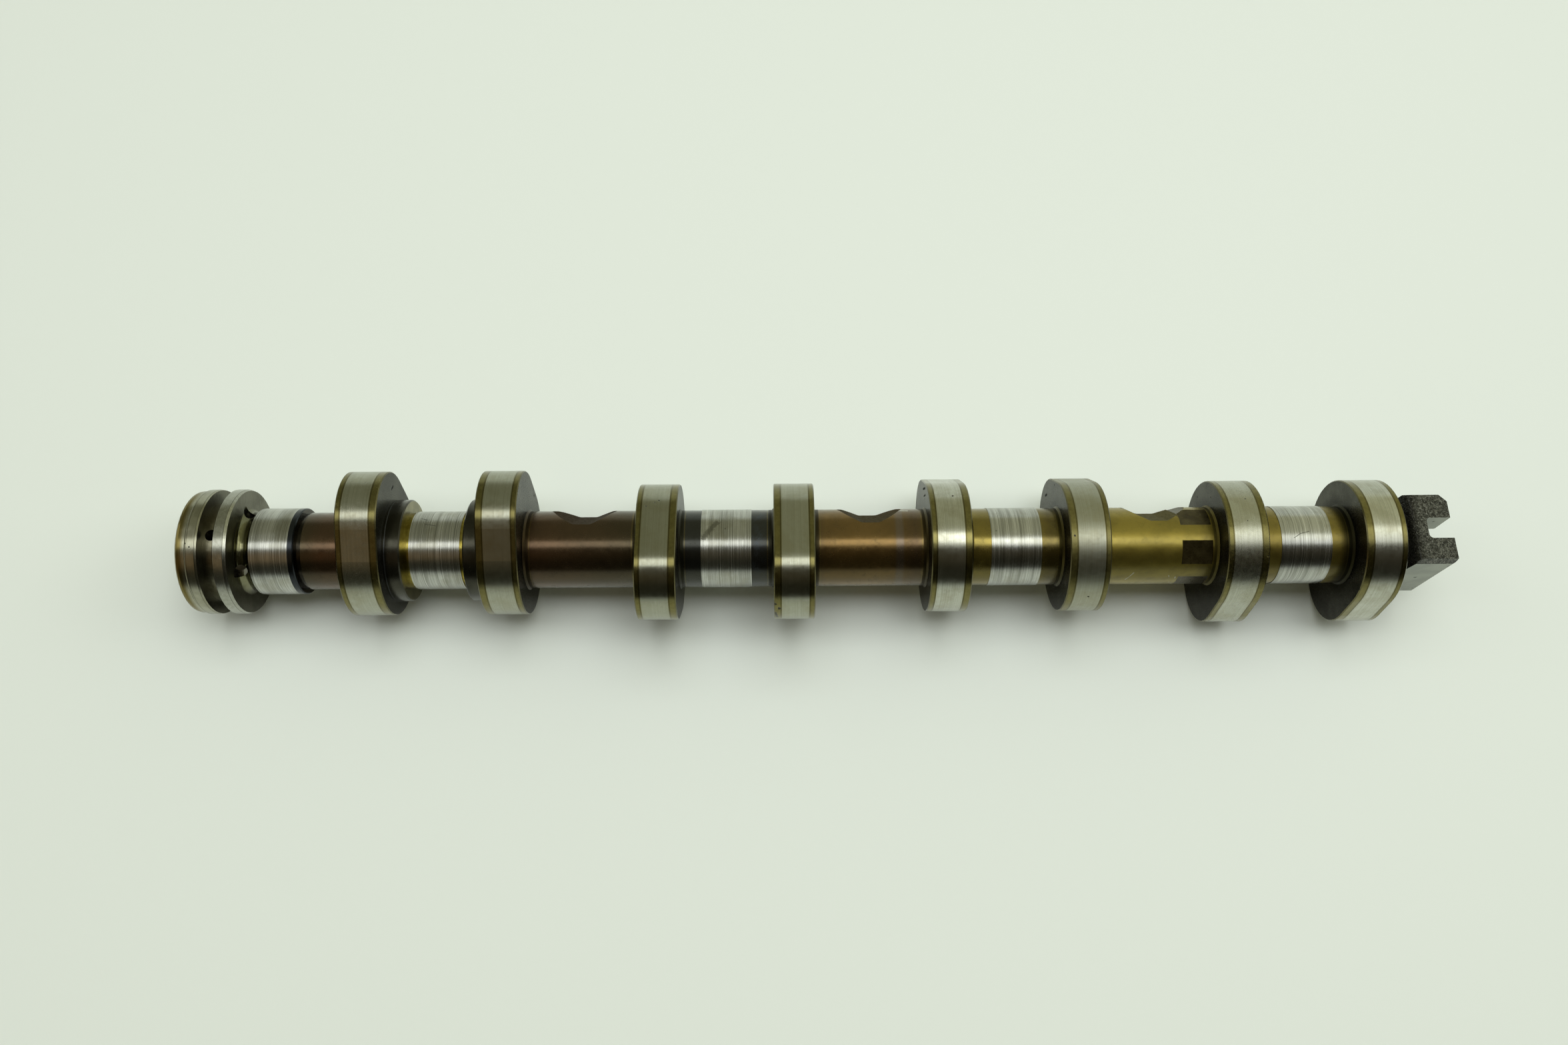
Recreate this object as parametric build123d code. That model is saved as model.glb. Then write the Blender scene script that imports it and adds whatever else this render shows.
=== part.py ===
from build123d import *
import math
import os

# Camshaft for a four-cylinder engine with two lobes a cylinder: one iron casting,
# turned and ground.  Millimetres.  It is drawn along +X from its front face and laid
# down at the end as it rests on a flat surface, with +Z up.
# Angles go round the shaft from +Z towards +Y, counted from cylinder 1's noses.

# ---- lobes ---------------------------------------------------------------------
cylinder_pitch = 91.0          # from one cylinder's middle to the next
lobe_spacing = 42.5            # between the two lobes of a cylinder
lobe_width = 12.7
base_radius = 20.75
lift = 6.25
nose_radius = 16.0
lobe_edge = 0.3                # edge break round each lobe
nose_angles = (0.0, -90.0, 90.0, 180.0)      # cylinders 1 to 4

# ---- shaft and journals ----------------------------------------------------------
shaft_radius = 12.35
journal_radius = 12.5          # ground, in the middle of each cylinder's two lobes
journal_width = 15.8
root_taper = 0.6               # where the plain shaft meets a lobe

# ---- thrust collars, which fill in from lobes 1 and 2 to the first journal ----------
collar_radius = 16.3
collar_edge = 0.4
relief_width = 1.8             # grinding relief between journal and collar
relief_depth = 0.25            # below the shaft

# ---- front end -------------------------------------------------------------------
ring_radius = 19.95            # the two rings either side of the oil groove
ring_nose_drop = 0.5           # lower front shoulder of the first ring
ring_nose_length = 3.25
ring_nose_round = 1.35
ring_nose_step = 0.6
first_ring_width = 7.15
first_ring_edge = 0.65         # along the shaft, where its back edge is broken
first_ring_drop = 0.2
groove_width = 4.8
groove_depth = 4.05
second_ring_width = 4.05
second_ring_front_edge = 0.2
second_ring_edge = 0.9         # along the shaft, where its back edge is broken
second_ring_drop = 0.4
neck_width = 4.35              # round-bottomed oil neck behind the second ring
neck_depth = 1.8               # below the front journal
front_journal_radius = 13.8
front_journal_width = 13.8
front_journal_edge = 0.3
front_relief_width = 1.8
front_shaft_length = 14.0      # plain shaft before the first lobe

# ---- front bores and oil holes -------------------------------------------------------
bore_radius = 8.5
bore_depth = 26.0
bolt_radius = 5.1              # for the centre bolt, beyond the bore
bolt_depth = 24.0
dowel_radius = 2.5
dowel_wall = 2.0               # metal between the dowel hole and the bore
dowel_depth = 5.5
dowel_angle = 90.0
groove_hole_radius = 1.8
groove_hole_angle = -36.1      # drilled right across
neck_hole_radius = 2.05
neck_hole_angles = (-84.2, 14.0)
neck_hole_forward = 1.45       # of the neck's middle, where it breaks the neck's floor
neck_hole_lean = 25.0          # degrees from square; its outer end points back

# ---- cast waists between the cylinders -------------------------------------------------
waist_angle = 25.7
waist_depth = 3.05             # of the flat, below the shaft
waist_flat_length = 5.6        # before its corners are rounded
waist_slope = 24.0             # degrees, at both ends of the flat
waist_hollow_round = 3.0
waist_crown_round = 4.3

# ---- spanner hexagon before the last cylinder ---------------------------------------------
hexagon_depth = 0.6            # of each flat's middle, below the shaft
hexagon_width = 9.6
hexagon_gap = 1.9              # to lobe 7
hexagon_angle = -5.4           # middle of one flat

# ---- slotted driving lug at the back ----------------------------------------------------
lug_gap = 4.5                  # plain shaft after the last lobe
lug_length = 12.0
lug_across = 23.0              # over the two machined sides
lug_height = 32.0              # over the two cast faces
lug_corner_side = 2.5
lug_corner_top = 0.9
lug_draft = 0.9                # how far the cast front face slopes out
lug_draft_run = 7.3            # and over what height
lug_round = 2.0                # between that slope and the cast faces
lug_end_chamfer = 3.1          # from the end to the machined side by the thicker prong
lug_end_round = 1.0            # and to the other
lug_angle = -35.1
slot_width = 6.7
slot_offset = 0.45             # off the axis, so that the drive fits one way round
slot_depth = 7.6
slot_fillet = 1.3
lug_bore_radius = 6.65
lug_bore_depth = 12.0
lug_bore_mouth = 0.4

# ---- places along the shaft ----------------------------------------------------------------
groove_start = first_ring_width
second_ring_start = groove_start + groove_width
neck_start = second_ring_start + second_ring_width
neck_middle = neck_start + neck_width / 2
front_journal_end = neck_start + neck_width + front_journal_width
front_relief_end = front_journal_end + front_relief_width
first_cylinder = front_relief_end + front_shaft_length + (lobe_width + lobe_spacing) / 2
cylinders = [first_cylinder + cylinder_pitch * i for i in range(4)]
lobe_stations = [c + side * lobe_spacing / 2 for c in cylinders for side in (-1, 1)]
lobe_angles = [angle for angle in nose_angles for side in (-1, 1)]
lobe_faces = [s + side * lobe_width / 2 for s in lobe_stations for side in (-1, 1)]
waist_middles = [(a + b) / 2 for a, b in zip(cylinders, cylinders[1:])]
lobe_1_front = lobe_faces[0]
lobe_5_front = lobe_faces[8]                 # each lobe has two faces in the list
lobe_7_front = lobe_faces[12]
hexagon_start = lobe_7_front - hexagon_gap - hexagon_width
lug_start = lobe_faces[-1] + lug_gap
overall_length = lug_start + lug_length

# ---- radii that follow ---------------------------------------------------------------------
nose_offset = base_radius + lift - nose_radius
relief_radius = shaft_radius - relief_depth
ring_nose_radius = ring_radius - ring_nose_drop
groove_radius = ring_radius - groove_depth
neck_radius = front_journal_radius - neck_depth
dowel_circle = bore_radius + dowel_wall + dowel_radius

CLEAR = 2.0                    # how far a cutter stands out of the metal it cuts
GRAZE = 0.01                   # keeps a cutter's flat from lying on the shaft's surface
SAME = 1e-4                    # places closer than this are taken as one
NOSE_FACETS = 3                # of the first ring's rounded nose
REST_HALVINGS = 60             # of the right angle in which the resting turn is sought
ON_BASE = (Align.CENTER, Align.CENTER, Align.MIN)


class Profile:
    """Half section of the turned shape, drawn from point to point as x and radius."""

    def __init__(self):
        self.edges = []
        self.at = (0.0, 0.0)

    def line(self, x, r):
        self.edges.append(Line(self.at, (x, r)))
        self.at = (x, r)

    def arc(self, via, x, r):
        self.edges.append(ThreePointArc(self.at, via, (x, r)))
        self.at = (x, r)

    def quarter(self, radius, facets):
        """Quarter round, from square to the shaft to level with it, as that many facets."""
        x, r = self.at
        for i in range(1, facets + 1):
            turn = math.radians(90 * i / facets)
            self.line(x + radius * (1 - math.cos(turn)), r + radius * math.sin(turn))


def front_rings(p):
    """First ring with its rounded nose, the oil groove, and the second ring."""
    p.line(0.0, ring_nose_radius - ring_nose_round)
    p.quarter(ring_nose_round, NOSE_FACETS)
    p.line(ring_nose_length, ring_nose_radius)
    p.line(ring_nose_length + ring_nose_step, ring_radius)
    p.line(groove_start - first_ring_edge, ring_radius)
    p.line(groove_start, ring_radius - first_ring_drop)
    p.line(groove_start, groove_radius)
    p.line(second_ring_start, groove_radius)
    p.line(second_ring_start, ring_radius - second_ring_front_edge)
    p.line(second_ring_start + second_ring_front_edge, ring_radius)
    p.line(neck_start - second_ring_edge, ring_radius)
    p.line(neck_start, ring_radius - second_ring_drop)


def front_journal(p):
    """Round-bottomed oil neck, the front journal, and the grinding relief behind it."""
    p.line(neck_start, front_journal_radius)
    p.arc((neck_middle, neck_radius), neck_start + neck_width, front_journal_radius)
    p.line(front_journal_end - front_journal_edge, front_journal_radius)
    p.line(front_journal_end, front_journal_radius - front_journal_edge)
    p.line(front_journal_end, relief_radius)
    p.line(front_relief_end, relief_radius)
    p.line(front_relief_end, shaft_radius)


def through_lobe(p, front, back, taper_front=True, taper_back=True):
    """Shaft's own stretch inside a lobe, with a small taper up to each plain root."""
    if taper_front:
        p.line(front - root_taper, shaft_radius)
        p.line(front, shaft_radius + root_taper)
    if taper_back:
        p.line(back, shaft_radius + root_taper)
        p.line(back + root_taper, shaft_radius)


def thrust_journal(p):
    """First journal, held between the two thrust collars that stand on its lobes."""
    start = cylinders[0] - journal_width / 2
    end = cylinders[0] + journal_width / 2
    through_lobe(p, lobe_faces[0], lobe_faces[1], taper_back=False)
    p.line(lobe_faces[1], collar_radius)
    p.line(start - relief_width - collar_edge, collar_radius)
    p.line(start - relief_width, collar_radius - collar_edge)
    p.line(start - relief_width, relief_radius)
    p.line(start, relief_radius)
    p.line(start, journal_radius)
    p.line(end, journal_radius)
    p.line(end, relief_radius)
    p.line(end + relief_width, relief_radius)
    p.line(end + relief_width, collar_radius - collar_edge)
    p.line(end + relief_width + collar_edge, collar_radius)
    p.line(lobe_faces[2], collar_radius)
    through_lobe(p, lobe_faces[2], lobe_faces[3], taper_front=False)


def plain_journal(p, middle, faces):
    """A journal between two lobes whose four faces are given."""
    through_lobe(p, faces[0], faces[1])
    p.line(middle - journal_width / 2, shaft_radius)
    p.line(middle - journal_width / 2, journal_radius)
    p.line(middle + journal_width / 2, journal_radius)
    p.line(middle + journal_width / 2, shaft_radius)
    through_lobe(p, faces[2], faces[3])


def turned_shaft():
    p = Profile()
    front_rings(p)
    front_journal(p)
    thrust_journal(p)
    for i in (1, 2, 3):
        plain_journal(p, cylinders[i], lobe_faces[4 * i:4 * i + 4])
    p.line(lug_start, shaft_radius)
    p.line(lug_start, 0.0)
    p.line(0.0, 0.0)
    return revolve(make_face(p.edges), Axis.X, 360)


def across(x, angle):
    """Plane square to the shaft at x, its own Y pointing out at the given angle."""
    a = math.radians(angle)
    return Plane(origin=(x, 0, 0), x_dir=(0, math.cos(a), -math.sin(a)), z_dir=(1, 0, 0))


def along(x, angle):
    """Plane through the axis: its X runs along the shaft, its Y out at the given angle."""
    a = math.radians(angle)
    return Plane(origin=(x, 0, 0), x_dir=(1, 0, 0), z_dir=(0, -math.cos(a), math.sin(a)))


def lobe(station, angle):
    """Round base and round nose joined by straight flanks."""
    lean = math.asin((base_radius - nose_radius) / nose_offset)
    side = math.cos(lean)
    rise = math.sin(lean)
    base_right = (base_radius * side, base_radius * rise)
    base_left = (-base_radius * side, base_radius * rise)
    nose_right = (nose_radius * side, nose_offset + nose_radius * rise)
    nose_left = (-nose_radius * side, nose_offset + nose_radius * rise)
    outline = [
        Line(base_right, nose_right),
        ThreePointArc(nose_right, (0, nose_offset + nose_radius), nose_left),
        Line(nose_left, base_left),
        ThreePointArc(base_left, (0, -base_radius), base_right),
    ]
    front = across(station - lobe_width / 2, angle)
    body = extrude(front * make_face(outline), lobe_width, dir=(1, 0, 0))
    rims = [edge for edge in body.edges() if edge.bounding_box().size.X < SAME]
    return chamfer(rims, lobe_edge)


def waist(middle):
    """Cutter for one cast waist: a flat that slopes out softly at both ends."""
    floor = shaft_radius - waist_depth
    brim = shaft_radius + GRAZE
    flat = waist_flat_length / 2
    slope_end = flat + (brim - floor) / math.tan(math.radians(waist_slope))
    end = slope_end + waist_crown_round
    top = brim + CLEAR
    outline = make_face(Polyline(
        (-flat, floor), (flat, floor), (slope_end, brim), (end, brim), (end, top),
        (-end, top), (-end, brim), (-slope_end, brim), (-flat, floor)))
    hollows = [corner for corner in outline.vertices() if abs(corner.Y - floor) < SAME]
    outline = fillet(hollows, waist_hollow_round)
    crowns = [corner for corner in outline.vertices() if abs(abs(corner.X) - slope_end) < SAME]
    outline = fillet(crowns, waist_crown_round)
    return extrude(along(middle, waist_angle) * outline, top, both=True)


def hexagon_cutter():
    plane = across(hexagon_start, hexagon_angle)
    sleeve = plane * Circle(shaft_radius + CLEAR)
    flats = plane * RegularPolygon(shaft_radius - hexagon_depth, 6, major_radius=False)
    return extrude(sleeve - flats, hexagon_width, dir=(1, 0, 0))


def lug():
    """Cast lug: two machined sides, broken corners, and a front face that slopes out."""
    w = lug_across / 2
    h = lug_height / 2
    w_top = w - lug_corner_top
    h_side = h - lug_corner_side
    section = make_face(Polyline(
        (w, -h_side), (w, h_side), (w_top, h), (-w_top, h), (-w, h_side),
        (-w, -h_side), (-w_top, -h), (w_top, -h), (w, -h_side)))
    front = lug_start - lug_draft
    block = extrude(across(front, lug_angle) * section, overall_length - front, dir=(1, 0, 0))
    slope_start = h - lug_draft_run
    side = make_face(Polyline(
        (front, -slope_start), (front, slope_start), (lug_start, h), (overall_length, h),
        (overall_length, -h), (lug_start, -h), (front, -slope_start)))
    tips = [corner for corner in side.vertices() if abs(corner.X - lug_start) < SAME]
    side = fillet(tips, lug_round)
    plan = make_face(Polyline(
        (front, -w), (front, w), (overall_length - lug_end_chamfer, w),
        (overall_length, w - lug_end_chamfer), (overall_length, -w), (front, -w)))
    rounded = [corner for corner in plan.vertices() if corner.X > lug_start and corner.Y < 0]
    plan = fillet(rounded, lug_end_round)
    block &= extrude(along(0, lug_angle) * side, lug_across, both=True)
    return block & extrude(along(0, lug_angle + 90) * plan, lug_height, both=True)


def slot_cutter():
    plane = across(overall_length - slot_depth, lug_angle)
    box = Pos(-slot_offset, 0, 0) * Box(slot_width, lug_height + 2 * CLEAR,
                                        slot_depth + CLEAR, align=ON_BASE)
    floor_edges = box.edges().filter_by(Axis.Y).sort_by(Axis.Z)[:2]
    return plane * fillet(floor_edges, slot_fillet)


def drilling(x, way, radius, depth, mouth=0.0):
    """Round hole into the shaft's end at x, running the way given, broken at its mouth."""
    hole = Cylinder(radius, depth, align=ON_BASE)
    if mouth > 0:
        hole += Cone(radius + mouth, radius, mouth, align=ON_BASE)
    return Plane(origin=(x, 0, 0), z_dir=(way, 0, 0)) * hole


def oil_hole(x, angle, radius, lean=0.0):
    """Hole from the axis at x out through the side, its outer end leaning back."""
    a = math.radians(angle)
    t = math.radians(lean)
    way = (math.sin(t), math.cos(t) * math.sin(a), math.cos(t) * math.cos(a))
    return Plane(origin=(x, 0, 0), z_dir=way) * Cylinder(radius, ring_radius, align=ON_BASE)


def rest():
    """How the shaft lies on a flat surface, on the base of lobe 1 and the noses of
    lobes 5 and 7: cylinder 3's noses from straight down, and the slope of the axis."""
    run_5 = lobe_5_front - lobe_1_front
    run_7 = lobe_7_front - lobe_1_front
    least = 0.0
    most = math.radians(90)
    for _ in range(REST_HALVINGS):
        turn = (least + most) / 2
        rise_5 = nose_offset * math.cos(turn) + nose_radius - base_radius
        rise_7 = nose_offset * math.sin(turn) + nose_radius - base_radius
        if rise_7 / run_7 < rise_5 / run_5:
            least = turn
        else:
            most = turn
    return math.degrees(turn), math.degrees(math.atan2(rise_5, run_5))


def solid_shape():
    """Everything that adds metal."""
    body = turned_shaft() + lug()
    for station, angle in zip(lobe_stations, lobe_angles):
        body += lobe(station, angle)
    return body


def cut_away(body):
    """Waists, hexagon, slot, end bores and oil holes."""
    for middle in waist_middles:
        body -= waist(middle)
    body -= hexagon_cutter()
    body -= slot_cutter()
    body -= drilling(overall_length, -1, lug_bore_radius, lug_bore_depth, lug_bore_mouth)
    body -= drilling(0.0, 1, bore_radius, bore_depth)
    body -= drilling(0.0, 1, bolt_radius, bore_depth + bolt_depth)
    a = math.radians(dowel_angle)
    dowel_place = Pos(0, dowel_circle * math.sin(a), dowel_circle * math.cos(a))
    body -= dowel_place * drilling(0.0, 1, dowel_radius, dowel_depth)
    for turn in (0, 180):
        groove_middle = groove_start + groove_width / 2
        body -= oil_hole(groove_middle, groove_hole_angle + turn, groove_hole_radius)
    neck_hole_run = neck_radius * math.tan(math.radians(neck_hole_lean))
    neck_hole_start = neck_middle - neck_hole_forward - neck_hole_run
    for angle in neck_hole_angles:
        body -= oil_hole(neck_hole_start, angle, neck_hole_radius, neck_hole_lean)
    return body


roll, slope = rest()
camshaft = cut_away(solid_shape())
camshaft = Rot(0, -slope, 0) * Rot(roll - 90.0, 0, 0) * camshaft

os.makedirs("parts", exist_ok=True)
export_step(camshaft, "parts/camshaft.step")
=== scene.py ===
import math
import bpy
from mathutils import Matrix, Vector


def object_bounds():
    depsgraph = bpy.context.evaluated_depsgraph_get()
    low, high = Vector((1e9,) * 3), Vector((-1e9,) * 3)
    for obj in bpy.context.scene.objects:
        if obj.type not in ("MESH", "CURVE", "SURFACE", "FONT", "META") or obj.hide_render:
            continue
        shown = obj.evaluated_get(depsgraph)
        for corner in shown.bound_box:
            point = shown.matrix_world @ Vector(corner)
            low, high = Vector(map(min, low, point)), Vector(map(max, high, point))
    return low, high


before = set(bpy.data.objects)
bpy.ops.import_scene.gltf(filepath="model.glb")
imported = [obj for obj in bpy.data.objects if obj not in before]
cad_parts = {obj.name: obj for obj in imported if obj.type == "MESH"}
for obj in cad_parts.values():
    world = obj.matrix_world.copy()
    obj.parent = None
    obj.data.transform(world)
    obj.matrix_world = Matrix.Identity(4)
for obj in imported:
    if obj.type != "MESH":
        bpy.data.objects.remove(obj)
cad_low, cad_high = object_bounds()

# ---- the camshaft's own measures, in millimetres; places count from its front face -----
SLOPE = math.radians(0.75674)           # how the axis rises towards the back as it lies
PITCH = 91.0                            # from one cylinder's middle to the next
FIRST_CYLINDER = 77.55
LOBE_OFFSET = 21.25                     # from a cylinder's middle to each of its lobes
LOBE_HALF = 6.35
TRACK_HALF = 4.15                       # of the strip that the tappets polish
TRACK_OFFSET = 0.28                     # of its middle, away from the cylinder's middle
JOURNAL_HALF = 7.9
RELIEF_WIDTH = 1.85                     # just over that of the grooves beside the journals
RING_RADIUS = 19.95
RING_A_END = 7.15
GROOVE_END = 11.95
NECK_START = 16.0
NECK_END = 20.35
STRIP_START = 32.35                     # unground strip at the front journal's back edge
FRONT_JOURNAL_END = 34.15
FRONT_RELIEF_END = 35.95
SHAFT_RADIUS = 12.35
COLLAR_FOOT = 13.0                      # what is larger here belongs to the thrust collar
HEXAGON = (311.45, 321.05)
WAISTS = (123.05, 214.05, 305.05)
WAIST_HALF = 14.5                       # to just past the slopes at a waist's ends
WAIST_ANGLE = 66.34                     # degrees, of the waists' flats from +Z towards +Y
LUG_START = 382.65
LUG_ANGLE = 5.47                        # degrees, of the lug's cast faces from +Z towards +Y
LUG_BORE = 6.9                          # just over the radius of the bore in the lug's end
DEEPEST_BORE = 9.0                      # just over the radius of the front bore
WHOLE = 400.0                           # a round length that holds all of the camshaft
NEAR = 0.05                             # faces closer than this to a measure lie on it
SQUARE = 0.9                            # cosine above which a face is square to the shaft
AXIS = Vector((math.cos(SLOPE), 0.0, math.sin(SLOPE)))


# ---- node boards ----------------------------------------------------------------------
class Board:
    """A node tree, with short words for the nodes that the finishes use."""

    def __init__(self, tree):
        self.tree = tree

    def node(self, kind, **settings):
        made = self.tree.nodes.new(kind)
        for name, value in settings.items():
            setattr(made, name, value)
        return made

    def feed(self, socket, value):
        if isinstance(value, bpy.types.NodeSocket):
            self.tree.links.new(value, socket)
        elif value is not None:
            socket.default_value = value

    def maths(self, operation, *values, clamp=False):
        made = self.node("ShaderNodeMath", operation=operation, use_clamp=clamp)
        for socket, value in zip(made.inputs, values):
            self.feed(socket, value)
        return made.outputs[0]

    def between(self, value, low, high, start=0.0, end=1.0, soft=False):
        """Value carried from low..high to start..end, and held at those ends."""
        made = self.node("ShaderNodeMapRange")
        made.interpolation_type = "SMOOTHSTEP" if soft else "LINEAR"
        for name, number in (("Value", value), ("From Min", low), ("From Max", high),
                             ("To Min", start), ("To Max", end)):
            self.feed(made.inputs[name], number)
        return made.outputs["Result"]

    def band(self, value, low, high, edge):
        """1 from low to high, falling to 0 over the edge on either side."""
        rise = self.between(value, low - edge, low + edge, soft=True)
        fall = self.between(value, high - edge, high + edge, 1.0, 0.0, soft=True)
        return self.maths("MULTIPLY", rise, fall)

    def noise(self, vector, scale, detail, roughness=0.55):
        made = self.node("ShaderNodeTexNoise")
        for name, value in (("Vector", vector), ("Scale", scale), ("Detail", detail),
                            ("Roughness", roughness)):
            self.feed(made.inputs[name], value)
        return made.outputs["Fac"]

    def ramp(self, factor, stops, steps="LINEAR"):
        made = self.node("ShaderNodeValToRGB")
        made.color_ramp.interpolation = steps
        points = made.color_ramp.elements
        for i, (at, colour) in enumerate(stops):
            point = points[i] if i < 2 else points.new(at)
            point.position = at
            point.color = (*colour, 1.0)
        self.feed(made.inputs[0], factor)
        return made.outputs["Color"]

    def blend(self, factor, first, second):
        made = self.node("ShaderNodeMix", data_type="RGBA", blend_type="MIX")
        self.feed(made.inputs[0], factor)
        for socket, value in ((made.inputs[6], first), (made.inputs[7], second)):
            self.feed(socket, (*value, 1.0) if isinstance(value, tuple) else value)
        return made.outputs[2]

    def bump(self, height, distance, normal=None):
        made = self.node("ShaderNodeBump")
        made.inputs["Strength"].default_value = 1.0
        made.inputs["Distance"].default_value = distance
        self.feed(made.inputs["Height"], height)
        self.feed(made.inputs["Normal"], normal)
        return made.outputs["Normal"]

    def group(self, tree, **values):
        made = self.node("ShaderNodeGroup", node_tree=tree)
        for name, value in values.items():
            self.feed(made.inputs[name.replace("_", " ")], value)
        return made.outputs


def new_group(name, inputs, outputs):
    """An empty node group; its inputs and outputs are pairs of name and kind."""
    tree = bpy.data.node_groups.new(name, "ShaderNodeTree")
    for title, kind in inputs:
        tree.interface.new_socket(title, in_out="INPUT", socket_type=kind)
    for title, kind in outputs:
        tree.interface.new_socket(title, in_out="OUTPUT", socket_type=kind)
    board = Board(tree)
    return board, board.node("NodeGroupInput").outputs, board.node("NodeGroupOutput").inputs


NUMBER = "NodeSocketFloat"
ARROW = "NodeSocketVector"


def shaft_place():
    """Where a point is on the camshaft: millimetres, and radians round it from +Z."""
    board, _, out = new_group("Shaft place", (), (
        ("Spot", ARROW), ("Along", NUMBER), ("Outward", NUMBER), ("Radius", NUMBER),
        ("Around", NUMBER)))
    spot = board.node("ShaderNodeMapping")
    spot.inputs["Rotation"].default_value = (0.0, SLOPE, 0.0)
    spot.inputs["Scale"].default_value = (1000.0, 1000.0, 1000.0)
    board.feed(spot.inputs["Vector"], board.node("ShaderNodeTexCoord").outputs["Object"])
    parts = board.node("ShaderNodeSeparateXYZ")
    board.feed(parts.inputs[0], spot.outputs[0])
    along, sideways, up = parts.outputs
    shifted = board.maths("ADD", along, PITCH / 2 - FIRST_CYLINDER)
    wrapped = board.maths("WRAP", shifted, PITCH, 0.0)
    from_cylinder = board.maths("SUBTRACT", wrapped, PITCH / 2)
    outward = board.maths("SUBTRACT", board.maths("ABSOLUTE", from_cylinder), LOBE_OFFSET)
    radius = board.maths("SQRT", board.maths(
        "ADD", board.maths("MULTIPLY", sideways, sideways), board.maths("MULTIPLY", up, up)))
    around = board.maths("ARCTAN2", sideways, up)
    for title, value in (("Spot", spot.outputs[0]), ("Along", along), ("Outward", outward),
                         ("Radius", radius), ("Around", around)):
        board.feed(out[title], value)
    return board.tree


def turning_marks():
    """Fine lines round the shaft, as grinding and turning leave them."""
    board, given, out = new_group("Turning marks", (
        ("Spot", ARROW), ("Lines", NUMBER), ("Drift", NUMBER)), (("Lines", NUMBER),))
    scale = board.node("ShaderNodeCombineXYZ")
    board.feed(scale.inputs[0], given["Lines"])
    board.feed(scale.inputs[1], given["Drift"])
    board.feed(scale.inputs[2], given["Drift"])
    stretched = board.node("ShaderNodeVectorMath", operation="MULTIPLY")
    board.feed(stretched.inputs[0], given["Spot"])
    board.feed(stretched.inputs[1], scale.outputs[0])
    board.feed(out["Lines"], board.noise(stretched.outputs[0], 1.0, 4.0, 0.75))
    return board.tree


def pits():
    """Scattered small pits: a mask that is 1 in the pits."""
    board, given, out = new_group("Pits", (
        ("Spot", ARROW), ("Spacing", NUMBER), ("Size", NUMBER), ("Share", NUMBER)),
        (("Mask", NUMBER),))
    cells = board.node("ShaderNodeTexVoronoi")
    board.feed(cells.inputs["Vector"], given["Spot"])
    board.feed(cells.inputs["Scale"], board.maths("DIVIDE", 1.0, given["Spacing"]))
    parts = board.node("ShaderNodeSeparateColor")
    board.feed(parts.inputs[0], cells.outputs["Color"])
    chosen = board.maths("LESS_THAN", parts.outputs[0], given["Share"])
    size = board.maths("DIVIDE", given["Size"], given["Spacing"])
    varied = board.maths("MULTIPLY", size, board.between(parts.outputs[1], 0.0, 1.0, 0.35, 1.0))
    inner = board.maths("MULTIPLY", varied, 0.4)
    inside = board.between(cells.outputs["Distance"], inner, varied, 1.0, 0.0, soft=True)
    board.feed(out["Mask"], board.maths("MULTIPLY", inside, chosen))
    return board.tree


def stains():
    """Soft uneven patches of two sizes, from 0 to 1."""
    board, given, out = new_group("Stains", (
        ("Spot", ARROW), ("Size", NUMBER)), (("Large", NUMBER), ("Small", NUMBER)))
    per = board.maths("DIVIDE", 1.0, given["Size"])
    large = board.noise(given["Spot"], per, 3.0, 0.6)
    small = board.noise(given["Spot"], board.maths("MULTIPLY", per, 5.0), 4.0, 0.65)
    board.feed(out["Large"], board.between(large, 0.32, 0.68, soft=True))
    board.feed(out["Small"], board.between(small, 0.3, 0.7))
    return board.tree


def scratch():
    """One scratch or nick with a ragged edge: a mask that is 1 in it."""
    board, given, out = new_group("Scratch", (
        ("Spot", ARROW), ("Start", ARROW), ("End", ARROW), ("Width", NUMBER)),
        (("Mask", NUMBER),))

    def arrow(operation, first, second=None):
        made = board.node("ShaderNodeVectorMath", operation=operation)
        board.feed(made.inputs[0], first)
        board.feed(made.inputs[1], second)
        return made

    run = arrow("SUBTRACT", given["End"], given["Start"]).outputs[0]
    reach = arrow("SUBTRACT", given["Spot"], given["Start"]).outputs[0]
    share = board.maths("DIVIDE", arrow("DOT_PRODUCT", reach, run).outputs["Value"],
                        arrow("DOT_PRODUCT", run, run).outputs["Value"], clamp=True)
    nearest = arrow("SCALE", run)
    board.feed(nearest.inputs["Scale"], share)
    gap = arrow("LENGTH", arrow("SUBTRACT", reach, nearest.outputs[0]).outputs[0])
    ragged = board.between(board.noise(given["Spot"], 2.2, 2.0), 0.3, 0.7, -0.4, 0.4)
    ratio = board.maths("ADD", board.maths("DIVIDE", gap.outputs["Value"], given["Width"]), ragged)
    board.feed(out["Mask"], board.between(ratio, 0.65, 1.15, 1.0, 0.0, soft=True))
    return board.tree


PLACE = shaft_place()
MARKS = turning_marks()
PITS = pits()
STAINS = stains()
SCRATCH = scratch()


def nick(along, across, up, size):
    """A nick as a very short scratch: its start, its end and its half width."""
    return (along, across, up), (along + 0.05, across, up), size


# Lines, bands and changes of tone at one distance from the front face: from and to.
RING_LINES = ((4.05, 4.2), (6.45, 6.6), (15.05, 15.2))
GOLDEN_NOSE = (-1.0, 2.4)
RELIEF_TURNS_GOLD = (40.0, 41.0)
# painted highlight: a thin pale line round the thrust collar near its front edge
COLLAR_PAINTED_HIGHLIGHT = (63.1, 63.35)
BLUED = (176.5, 180.5)
SMEARED = (221.8, 224.2)
MOTTLED_FROM = (284.0, 290.0)
FRONT_PAINTED_SHADE = (-1.35, -0.78)          # painted shade on the shaft's front-lower side, round it in radians from +Z
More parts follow.
